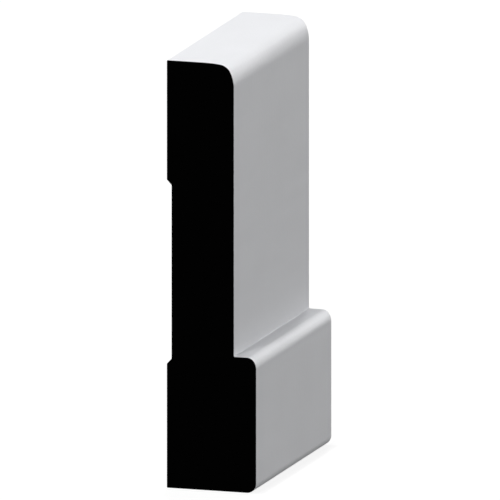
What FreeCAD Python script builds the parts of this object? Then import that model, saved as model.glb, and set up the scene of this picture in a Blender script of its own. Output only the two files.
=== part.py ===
import FreeCAD, Part
import math
import os

# A short sample of architrave moulding, the stepped trim that frames a door or a window.
# One board is milled to one section: a flat field, a thicker band along the outer edge with a
# rounded nose, an eased inner edge, and a shallow relief in the back, so that only two lands
# touch the wall. Both ends are sawn square.
# The sample stands on the band's outer edge, as it is shown. X runs from the back to the face,
# Y along the length and Z across the width, and the origin is the middle of the box's base.
# Lengths are in millimetres and angles in degrees.

# The board: 3-1/2 in wide, and a 2 in sample of it
width = 88.9
length = 50.8

# The face: a 9/16 in field, and a band that stands 3/16 in proud of it
field_thickness = 14.2875
band_projection = 4.7625
band_width = 28.1
outer_edge_radius = 2.0

# The nose and the eased inner edge both leave the face by a slow arc and turn the corner by a
# tighter one. The inner edge runs out on to the top by a third arc, a slight crown.
slow_turn = 25.5
nose_slow_radius = 3.3
nose_corner_radius = 1.8
ease_slow_radius = 7.4
ease_corner_radius = 2.8
crown_radius = 28.0
crown_turn = 7.0

# The back: two flat lands, and between them a relief with sloped ends
lower_land = 25.8
upper_land = 24.8
relief_depth = 1.0
relief_end_run = 1.1

SQUARE_TURN = 90.0
NODE = "architrave_moulding"

overall_thickness = field_thickness + band_projection
back_x = -overall_thickness / 2
near_end_y = -length / 2


def section_point(depth, height):
    """A point of the section on the near end: depth is from the back, height from the base."""
    return FreeCAD.Vector(back_x + depth, near_end_y, height)


def turned(direction, turn):
    """A direction in the section's plane, turned by an angle from X towards Z."""
    c = math.cos(math.radians(turn))
    s = math.sin(math.radians(turn))
    return FreeCAD.Vector(direction.x * c - direction.z * s, 0, direction.x * s + direction.z * c)


def cross(a, b):
    """The cross product of two directions in the section's plane."""
    return a.x * b.z - a.z * b.x


def arc_points(start, heading, radius, turn):
    """The middle and the end of an arc that leaves start along heading and turns left."""
    centre = start + turned(heading, SQUARE_TURN) * radius
    middle = centre - turned(heading, SQUARE_TURN + turn / 2) * radius
    end = centre - turned(heading, SQUARE_TURN + turn) * radius
    return middle, end


def rounding(corner, arriving, leaving, arcs):
    """The points of the tangent arcs that round a corner, as (start, middle, end) of each arc.
    arcs is a list of (radius, turn). The first arc is tangent to the side that arrives at the
    corner and the last one to the side that leaves it."""
    reach = FreeCAD.Vector()
    heading = arriving
    for radius, turn in arcs:
        _, reach = arc_points(reach, heading, radius, turn)
        heading = turned(heading, turn)
    setback = cross(reach, leaving) / cross(arriving, leaving)
    start = corner - arriving * setback
    heading = arriving
    points = []
    for radius, turn in arcs:
        middle, end = arc_points(start, heading, radius, turn)
        points.append((start, middle, end))
        heading = turned(heading, turn)
        start = end
    return points


def section_wire(corners):
    """The closed outline through the corners, walked with the wood on its left.
    corners is a list of (point, arcs), and a corner with no arcs is left sharp."""
    count = len(corners)
    runs = []
    for i, (corner, arcs) in enumerate(corners):
        arriving = (corner - corners[i - 1][0]).normalize()
        leaving = (corners[(i + 1) % count][0] - corner).normalize()
        runs.append(rounding(corner, arriving, leaving, arcs) if arcs else [])
    edges = []
    for i, (corner, _) in enumerate(corners):
        edges += [Part.Arc(*points).toShape() for points in runs[i]]
        side_start = runs[i][-1][-1] if runs[i] else corner
        following = (i + 1) % count
        side_end = runs[following][0][0] if runs[following] else corners[following][0]
        edges.append(Part.LineSegment(side_start, side_end).toShape())
    return Part.Wire(edges)


def face_corners():
    """The front of the section, from the base up over the band and the field to the top."""
    nose = [(nose_slow_radius, slow_turn), (nose_corner_radius, SQUARE_TURN - slow_turn)]
    inner_edge_ease = [
        (ease_slow_radius, slow_turn),
        (ease_corner_radius, SQUARE_TURN - slow_turn - crown_turn),
        (crown_radius, crown_turn),
    ]
    return [
        (section_point(0, 0), []),
        (section_point(overall_thickness, 0), [(outer_edge_radius, SQUARE_TURN)]),
        (section_point(overall_thickness, band_width), nose),
        (section_point(field_thickness, band_width), []),
        (section_point(field_thickness, width), inner_edge_ease),
        (section_point(0, width), []),
    ]


def back_corners():
    """The relief in the back, from its upper end down to its lower end."""
    upper_mouth = width - upper_land
    return [
        (section_point(0, upper_mouth), []),
        (section_point(relief_depth, upper_mouth - relief_end_run), []),
        (section_point(relief_depth, lower_land + relief_end_run), []),
        (section_point(0, lower_land), []),
    ]


def moulding():
    """The section run along the whole length of the sample."""
    section = Part.Face(section_wire(face_corners() + back_corners()))
    return section.extrude(FreeCAD.Vector(0, length, 0))


os.makedirs("parts", exist_ok=True)
moulding().exportStep("parts/" + NODE + ".step")
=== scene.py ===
import math

import bpy
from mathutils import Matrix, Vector


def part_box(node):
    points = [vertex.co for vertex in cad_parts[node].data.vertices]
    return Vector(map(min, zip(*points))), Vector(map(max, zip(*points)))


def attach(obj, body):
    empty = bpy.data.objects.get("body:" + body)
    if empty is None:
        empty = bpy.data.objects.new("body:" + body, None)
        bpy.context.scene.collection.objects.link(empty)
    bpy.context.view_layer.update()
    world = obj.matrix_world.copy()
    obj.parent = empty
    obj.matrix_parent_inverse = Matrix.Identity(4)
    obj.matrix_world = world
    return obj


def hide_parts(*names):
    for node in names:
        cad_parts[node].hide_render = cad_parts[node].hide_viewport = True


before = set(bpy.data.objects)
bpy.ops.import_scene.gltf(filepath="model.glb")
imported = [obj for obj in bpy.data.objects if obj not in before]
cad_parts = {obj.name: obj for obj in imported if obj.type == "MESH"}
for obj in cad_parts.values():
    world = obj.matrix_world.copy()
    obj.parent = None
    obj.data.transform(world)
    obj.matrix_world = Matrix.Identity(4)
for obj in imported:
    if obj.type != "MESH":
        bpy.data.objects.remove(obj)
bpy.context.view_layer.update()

# The board. The real piece is one length of trim board, run through a moulder that cuts the
# flat field, the thicker band with its rounded nose, the eased inner edge and the relief in the
# back in one pass. It was then primed all round, sawn square to a short sample and its ends painted.
MM = 0.001
low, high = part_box("architrave_moulding")
thickness = high.x - low.x
width = high.z - low.z

band_projection = 4.7625 * MM
band_width = 28.1 * MM
field_thickness = thickness - band_projection

# Roundings are runs of tangent arcs, as (radius, turn in degrees) up from the face
outer_edge = [(2.0 * MM, 90.0)]
nose = [(3.3 * MM, 25.5), (1.8 * MM, 64.5)]
inner_edge_ease = [(7.4 * MM, 25.5), (2.8 * MM, 57.5), (28.0 * MM, 7.0)]

lower_land = 25.8 * MM
upper_land = 24.8 * MM
relief_depth = 1.0 * MM
relief_end_run = 1.1 * MM

# Sandpaper takes the sharpness off the arrises, and primer gathers in the inner corners
arris_radius = 0.2 * MM
fillet_radius = 0.2 * MM
sawn_arris_radius = 0.12 * MM
ARC_STEP = 5.0
ARRIS_STEPS = 4
RUN_STEPS = 24


def along(angle):
    """The direction at an angle, in degrees from the back towards the face, as (depth, height)."""
    return Vector((math.cos(math.radians(angle)), math.sin(math.radians(angle))))


def arc(start, heading, radius, turn):
    """Points of an arc that leaves start at a heading, as (point, heading). A turn to the left
    rounds an outer corner and a turn to the right an inner one."""
    side = math.copysign(90.0, turn)
    centre = start + along(heading + side) * radius
    steps = max(2, math.ceil(abs(turn) / ARC_STEP))
    headings = [heading + turn * i / steps for i in range(steps + 1)]
    return [(centre - along(h + side) * radius, h) for h in headings]


def rounded_corner(corner, arriving, leaving, arcs):
    """The points of the tangent arcs that round a corner between two headings."""
    heading = arriving
    end = Vector((0, 0))
    for radius, turn in arcs:
        end = arc(end, heading, radius, turn)[-1][0]
        heading += turn
    side_in = along(arriving)
    side_out = along(leaving)
    setback = end.cross(side_out) / side_in.cross(side_out)
    point = corner - side_in * setback
    heading = arriving
    points = []
    for radius, turn in arcs:
        points += arc(point, heading, radius, turn)[1 if points else 0:]
        point = points[-1][0]
        heading += turn
    return points


def section_outline():
    """The section walked with the wood on its left, as (point, heading). Each point is (depth
    from the back, height from the base)."""
    upper_mouth = width - upper_land
    corners = [
        ((0, 0), None),
        ((thickness, 0), outer_edge),
        ((thickness, band_width), nose),
        ((field_thickness, band_width), None),
        ((field_thickness, width), inner_edge_ease),
        ((0, width), None),
        ((0, upper_mouth), None),
        ((relief_depth, upper_mouth - relief_end_run), None),
        ((relief_depth, lower_land + relief_end_run), None),
        ((0, lower_land), None),
    ]
    points = [Vector(corner) for corner, _ in corners]
    outline = []
    for i, (_, arcs) in enumerate(corners):
        side_in = points[i] - points[i - 1]
        side_out = points[(i + 1) % len(points)] - points[i]
        arriving = math.degrees(math.atan2(side_in.y, side_in.x))
        turn = math.degrees(math.atan2(side_in.cross(side_out), side_in.dot(side_out)))
        if arcs is None:
            arcs = [(arris_radius if turn > 0 else fillet_radius, turn)]
        outline += rounded_corner(points[i], arriving, arriving + turn, arcs)
    return outline


def run_stations():
    """Where the section stands along the board, from end to end, as (distance along Y, how far
    it is drawn in, lean of its surface towards that end in degrees)."""
    near = []
    for i in range(ARRIS_STEPS + 1):
        lean = 90.0 * i / ARRIS_STEPS
        from_end, from_side = (1 - along(lean).x, 1 - along(lean).y)
        near.append((from_end * sawn_arris_radius, from_side * sawn_arris_radius, lean - 90.0))
    start = low.y + sawn_arris_radius
    run = high.y - low.y - 2 * sawn_arris_radius
    middle = [(start + run * i / RUN_STEPS, 0.0, 0.0) for i in range(1, RUN_STEPS)]
    stations = [(low.y + y, inset, lean) for y, inset, lean in near]
    stations += middle
    stations += [(high.y - y, inset, -lean) for y, inset, lean in reversed(near)]
    return stations


def board_mesh():
    """The section run from end to end. Every corner is rounded, so each vertex has one true
    normal, which keeps the flats flat where they run into the roundings. The end paint, which is
    the mesh's second material, covers the ends and laps round their sawn arrises."""
    outline = section_outline()
    verts = []
    normals = []
    for y, inset, lean in run_stations():
        for point, heading in outline:
            outward = along(heading - 90.0)
            place = point - outward * inset
            verts.append((low.x + place.x, y, low.z + place.y))
            tilt = along(lean)
            normals.append((outward.x * tilt.x, tilt.y, outward.y * tilt.x))
    count = len(outline)
    rings = len(verts) // count
    faces = [tuple(range(count)), tuple(reversed(range(len(verts) - count, len(verts))))]
    painted = [True, True]
    for ring in range(rings - 1):
        on_arris = ring < ARRIS_STEPS or ring >= rings - 1 - ARRIS_STEPS
        for i in range(count):
            a = ring * count + i
            b = ring * count + (i + 1) % count
            faces.append((a, a + count, b + count, b))
            painted.append(on_arris)
    mesh = bpy.data.meshes.new("board")
    mesh.from_pydata(verts, [], faces)
    mesh.shade_smooth()
    mesh.normals_split_custom_set_from_vertices(normals)
    mesh.polygons.foreach_set("material_index", painted)
    return mesh


def colour(code):
    """An sRGB hex colour as the linear one that a shader takes."""
    parts = [int(code[i:i + 2], 16) / 255 for i in (1, 3, 5)]
    return [p / 12.92 if p <= 0.04045 else ((p + 0.055) / 1.055) ** 2.4 for p in parts] + [1.0]


def add(tree, kind, inputs, **settings):
    """Adds a node with its settings. An input is a value, or an output that is linked to it."""
    node = tree.nodes.new("ShaderNode" + kind)
    for name, value in settings.items():
        setattr(node, name, value)
    for name, value in inputs.items():
        if isinstance(value, bpy.types.NodeSocket):
            tree.links.new(value, node.inputs[name])
        else:
            node.inputs[name].default_value = value
    return node


def material(name):
    """A new material with an empty tree."""
    made = bpy.data.materials.new(name)
    made.use_nodes = True
    made.node_tree.nodes.clear()
    return made


def repeats_each(spacing):
    """The scale at which a wave texture, which has one band for each 2 pi / 20 of its scaled
    length, repeats at a spacing."""
    return 2 * math.pi / 20 / spacing


def white_primer():
    """Water-based white primer, sprayed and lightly sanded. To the eye it is a dead flat, faintly
    cool white, on which a raking light finds a fine stipple and the moulder's cutter marks."""
    made = material("sprayed_white_primer")
    tree = made.node_tree
    place = add(tree, "TexCoord", {}).outputs["Object"]
    # Droplets that flowed together stand about this far apart
    droplet_spacing = 0.9 * MM
    stipple = add(tree, "TexNoise", {"Vector": place, "Scale": 1 / droplet_spacing, "Detail": 2.0})
    # Streaks from the sanding run along the board, 25 times as long as wide
    streak_width = 1.5 * MM
    stretched = add(tree, "Mapping", {"Vector": place, "Scale": (1.0, 1 / 25, 1.0)})
    streaks = add(tree, "TexNoise", {
        "Vector": stretched.outputs[0], "Scale": 1 / streak_width, "Detail": 3.0})
    # Each knife left a shallow scoop across the board, and primer half fills it
    scoop_spacing = 1.7 * MM
    scoop_share = 0.15
    cutter_marks = add(tree, "TexWave", {
        "Vector": place, "Scale": repeats_each(scoop_spacing)}, bands_direction="Y")
    # The coat is cloudy, in thicker and thinner patches about this far across
    patch_size = 14 * MM
    patches = add(tree, "TexNoise", {"Vector": place, "Scale": 1 / patch_size, "Detail": 2.0})
    coat = add(tree, "Mix", {
        "Factor": patches.outputs[0], "A": colour("#EEEFF2"), "B": colour("#F4F5F8"),
    }, data_type="RGBA")
    fine = add(tree, "Math", {0: stipple.outputs[0], 1: streaks.outputs[0]}, operation="ADD")
    relief = add(tree, "Math", {
        0: cutter_marks.outputs["Fac"], 1: scoop_share, 2: fine.outputs[0],
    }, operation="MULTIPLY_ADD")
    relief_height = 0.02 * MM
    bump = add(tree, "Bump", {"Height": relief.outputs[0], "Distance": relief_height})
    dullness = add(tree, "MapRange", {
        "Value": streaks.outputs[0], "From Min": 0.3, "From Max": 0.7, "To Min": 0.66, "To Max": 0.76})
    surface = add(tree, "BsdfPrincipled", {
        "Base Color": coat.outputs[2], "Roughness": dullness.outputs[0], "IOR": 1.5,
        "Specular IOR Level": 0.2, "Normal": bump.outputs[0]})
    add(tree, "OutputMaterial", {"Surface": surface.outputs[0]})
    return made


def black_end_paint():
    """Dead matt black paint, brushed over the sawn ends. To the eye it is a black hole of a face, on
    which only a low light finds the arcs that the saw left under it."""
    made = material("matt_black_end_paint")
    tree = made.node_tree
    place = add(tree, "TexCoord", {}).outputs["Object"]
    # The saw's teeth left arcs this far apart, round the blade's centre, which passed below the board
    tooth_spacing = 1.2 * MM
    blade_centre = (30 * MM, 0.0, -150 * MM)
    from_blade = add(tree, "VectorMath", {0: place, 1: blade_centre}, operation="SUBTRACT")
    saw_arcs = add(tree, "TexWave", {
        "Vector": from_blade.outputs[0], "Scale": repeats_each(tooth_spacing), "Distortion": 0.4,
        "Detail": 1.0}, wave_type="RINGS", rings_direction="Y")
    # Brush hairs left streaks down the face, 20 times as long as wide
    hair_width = 0.5 * MM
    brushed = add(tree, "Mapping", {"Vector": place, "Scale": (1.0, 1.0, 1 / 20)})
    hairs = add(tree, "TexNoise", {
        "Vector": brushed.outputs[0], "Scale": 1 / hair_width, "Detail": 2.0})
    tone = add(tree, "Mix", {
        "Factor": hairs.outputs[0], "A": colour("#010101"), "B": colour("#050505"),
    }, data_type="RGBA")
    saw_share = 0.6
    relief = add(tree, "Math", {
        0: saw_arcs.outputs["Fac"], 1: saw_share, 2: hairs.outputs[0]}, operation="MULTIPLY_ADD")
    relief_height = 0.02 * MM
    bump = add(tree, "Bump", {"Height": relief.outputs[0], "Distance": relief_height})
    dullness = add(tree, "MapRange", {
        "Value": hairs.outputs[0], "From Min": 0.3, "From Max": 0.7, "To Min": 0.82, "To Max": 0.92})
    surface = add(tree, "BsdfPrincipled", {
        "Base Color": tone.outputs[2], "Roughness": dullness.outputs[0], "IOR": 1.5,
        "Specular IOR Level": 0.01, "Normal": bump.outputs[0]})
    add(tree, "OutputMaterial", {"Surface": surface.outputs[0]})
    return made


board = bpy.data.objects.new("primed_board", board_mesh())
bpy.context.collection.objects.link(board)
board.data.materials.append(white_primer())
board.data.materials.append(black_end_paint())
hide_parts("architrave_moulding")
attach(board, "root")

# The table. A plain white laminate top, wider than any view of the sample, with nothing on it
# but the sample's own soft shadow.
table_reach = 4.0
floor_mesh = bpy.data.meshes.new("table_top")
floor_mesh.from_pydata(
    [(-table_reach, -table_reach, 0), (table_reach, -table_reach, 0),
     (table_reach, table_reach, 0), (-table_reach, table_reach, 0)],
    [], [(0, 1, 2, 3)])
floor = bpy.data.objects.new("table_top", floor_mesh)
bpy.context.collection.objects.link(floor)


def seen_directly(tree):
    """1 where a ray comes straight from the camera or by a reflection or glass, and else 0."""
    path = add(tree, "LightPath", {})
    mirrored = add(tree, "Math", {
        0: path.outputs["Is Camera Ray"], 1: path.outputs["Is Glossy Ray"]}, operation="MAXIMUM")
    through = add(tree, "Math", {
        0: mirrored.outputs[0], 1: path.outputs["Is Transmission Ray"]}, operation="MAXIMUM")
    return through.outputs[0]


def table_finish():
    """Matt white laminate. Seen directly it has a white glow under its own shade, so that it reads as
    a white page with a faint shadow, and to the sample it is a mid grey that throws little light up."""
    made = material("matt_white_laminate")
    tree = made.node_tree
    shade = add(tree, "BsdfDiffuse", {"Color": colour("#5A5A5A")})
    page = add(tree, "BsdfDiffuse", {"Color": colour("#7F7F7F")})
    glow = add(tree, "Emission", {"Color": colour("#FFFFFF"), "Strength": 0.85})
    lit_page = add(tree, "AddShader", {0: page.outputs[0], 1: glow.outputs[0]})
    surface = add(tree, "MixShader", {
        0: seen_directly(tree), 1: shade.outputs[0], 2: lit_page.outputs[0]})
    add(tree, "OutputMaterial", {"Surface": surface.outputs[0]})
    return made


floor.data.materials.append(table_finish())

# The light. A row of lamps above, a little behind the sample, lights the top and the nose and leaves
# the root of the step in the field's shade, except at the ends, where the outer two shine in past
# the field. A low soft box lights the face, a weaker one the back, and a dim dome all round.
dome_strength = 0.12
# Each is (strength, lean to the back, lean towards the far end), in degrees from straight above
overhead_lamps = {
    "overhead_lamp": (1.05, 4.0, 0.0),
    "overhead_fill": (0.2, 1.0, 0.0),
    "near_end_lamp": (0.46, 3.8, -18.0),
    "far_end_lamp": (0.46, 3.8, 18.0),
}
overhead_width = 2.8
# Each is (strength, azimuth in degrees from X towards Y)
soft_boxes = {"face_soft_box": (3.45, 75.0), "back_soft_box": (0.95, 200.0)}
box_width = 25.0
box_elevation = 5.0

world = bpy.data.worlds.new("white_dome")
bpy.context.scene.world = world
world.use_nodes = True
world.node_tree.nodes.clear()
dome = add(world.node_tree, "Background", {"Color": colour("#FFFFFF"), "Strength": dome_strength})
backdrop = add(world.node_tree, "Background", {"Color": colour("#FFFFFF"), "Strength": 1.0})
sky = add(world.node_tree, "MixShader", {
    0: seen_directly(world.node_tree), 1: dome.outputs[0], 2: backdrop.outputs[0]})
add(world.node_tree, "OutputWorld", {"Surface": sky.outputs[0]})


def distant_lamp(name, strength, width, to_lamp):
    """A soft lamp far off in a direction, its width given in degrees."""
    data = bpy.data.lights.new(name, "SUN")
    data.energy = strength
    data.angle = math.radians(width)
    lamp = bpy.data.objects.new(name, data)
    lamp.location = to_lamp
    lamp.rotation_euler = to_lamp.to_track_quat("Z", "Y").to_euler()
    bpy.context.collection.objects.link(lamp)


for name, (strength, lean_back, lean_along) in overhead_lamps.items():
    back = along(lean_back)
    side = along(lean_along)
    distant_lamp(name, strength, overhead_width, Vector((-back.y * side.x, side.y, back.x * side.x)))
rise = along(box_elevation)
for name, (strength, azimuth) in soft_boxes.items():
    level = along(azimuth)
    distant_lamp(name, strength, box_width, Vector((level.x * rise.x, level.y * rise.x, rise.y)))

# The camera. The view is a parallel one, turned a little to the right of the sawn end and raised
# a little, as the fit of the section's corners in the 500 pixel frame gave it.
view_azimuth = 17.62
view_elevation = 11.84
pixels_per_mm = 4.9128
frame_pixels = 500
base_pixel = (249.1, 466.25)
view_distance = 1.0

camera_data = bpy.data.cameras.new("camera")
camera_data.type = "ORTHO"
camera_data.ortho_scale = frame_pixels / pixels_per_mm * MM
camera_data.clip_start = 0.01
camera_data.clip_end = 10.0
camera = bpy.data.objects.new("camera", camera_data)
bpy.context.collection.objects.link(camera)
level = along(view_azimuth)
rise = along(view_elevation)
right = Vector((level.x, level.y, 0))
towards_camera = Vector((level.y * rise.x, -level.x * rise.x, rise.y))
up = towards_camera.cross(right)
across = (frame_pixels / 2 - base_pixel[0]) / pixels_per_mm * MM
upward = (base_pixel[1] - frame_pixels / 2) / pixels_per_mm * MM
camera.location = right * across + up * upward + towards_camera * view_distance
camera.rotation_euler = (-towards_camera).to_track_quat("-Z", "Y").to_euler()
bpy.context.scene.camera = camera
bpy.context.scene.view_settings.view_transform = "Standard"
